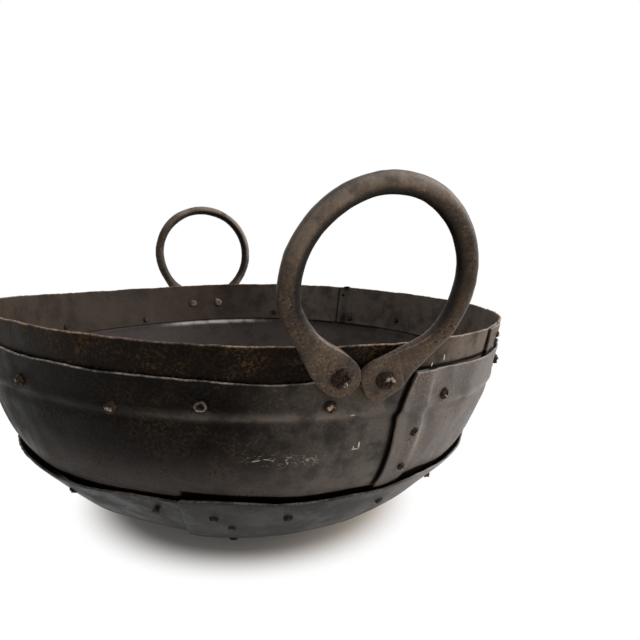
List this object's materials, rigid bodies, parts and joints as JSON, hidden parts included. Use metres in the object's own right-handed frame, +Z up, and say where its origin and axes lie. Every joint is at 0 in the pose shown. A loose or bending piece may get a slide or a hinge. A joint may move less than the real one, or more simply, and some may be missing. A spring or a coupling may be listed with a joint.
{
  "type": "two-handled riveted bowl",
  "caption": "Deep round-bottomed cooking or fire bowl of lapped and riveted iron sheet, with two upright ring handles riveted to its rim.",
  "frame": {"origin": "centre of the small flat under the bowl, which rests on the ground", "axes": "+Z up; the handles stand at -Y (front) and +Y (rear), so +X is across them"},
  "size_m": [0.5459, 0.6225, 0.3446],
  "materials": {
    "sheet": "satin dark oxidised iron sheet, oiled, with rust speckle and worn edges",
    "handle": "satin forged iron bar, hammered and worn",
    "rivet": "rough rusted iron"
  },
  "bodies": {
    "root": {"band_rivet_01": "rivet", "band_rivet_02": "rivet", "band_rivet_03": "rivet", "band_rivet_04": "rivet", "band_rivet_05": "rivet", "band_rivet_06": "rivet", "band_rivet_07": "rivet", "band_rivet_08": "rivet", "band_rivet_09": "rivet", "band_rivet_10": "rivet", "band_rivet_11": "rivet", "band_rivet_12": "rivet", "band_rivet_13": "rivet", "band_rivet_14": "rivet", "band_rivet_15": "rivet", "bottom_plate_inner": "sheet", "bottom_plate_outer": "sheet", "dish_rivet_01": "rivet", "dish_rivet_02": "rivet", "dish_rivet_03": "rivet", "dish_rivet_04": "rivet", "dish_rivet_05": "rivet", "dish_rivet_06": "rivet", "dish_rivet_07": "rivet", "dish_rivet_08": "rivet", "dish_rivet_09": "rivet", "dish_rivet_10": "rivet", "dish_rivet_11": "rivet", "dish_rivet_12": "rivet", "dish_rivet_13": "rivet", "dish_rivet_14": "rivet", "dish_rivet_15": "rivet", "dish_rivet_16": "rivet", "dish_seam_rivet_01": "rivet", "dish_seam_rivet_02": "rivet", "dish_seam_rivet_03": "rivet", "dish_seam_rivet_04": "rivet", "dish_seam_rivet_05": "rivet", "front_handle": "handle", "front_handle_left_rivet": "rivet", "front_handle_right_rivet": "rivet", "hoop_seam_rivet_01": "rivet", "hoop_seam_rivet_02": "rivet", "hoop_seam_rivet_03": "rivet", "hoop_seam_rivet_04": "rivet", "rear_handle": "handle", "rear_handle_left_rivet": "rivet", "rear_handle_right_rivet": "rivet", "rim_strip_01": "sheet", "rim_strip_02": "sheet", "rim_strip_03": "sheet", "side_plate_01": "sheet", "side_plate_02": "sheet", "side_plate_03": "sheet", "side_seam_rivet_01": "rivet", "side_seam_rivet_02": "rivet", "side_seam_rivet_03": "rivet", "side_seam_rivet_04": "rivet", "side_seam_rivet_05": "rivet", "side_seam_rivet_06": "rivet"}
  },
  "joints": []
}
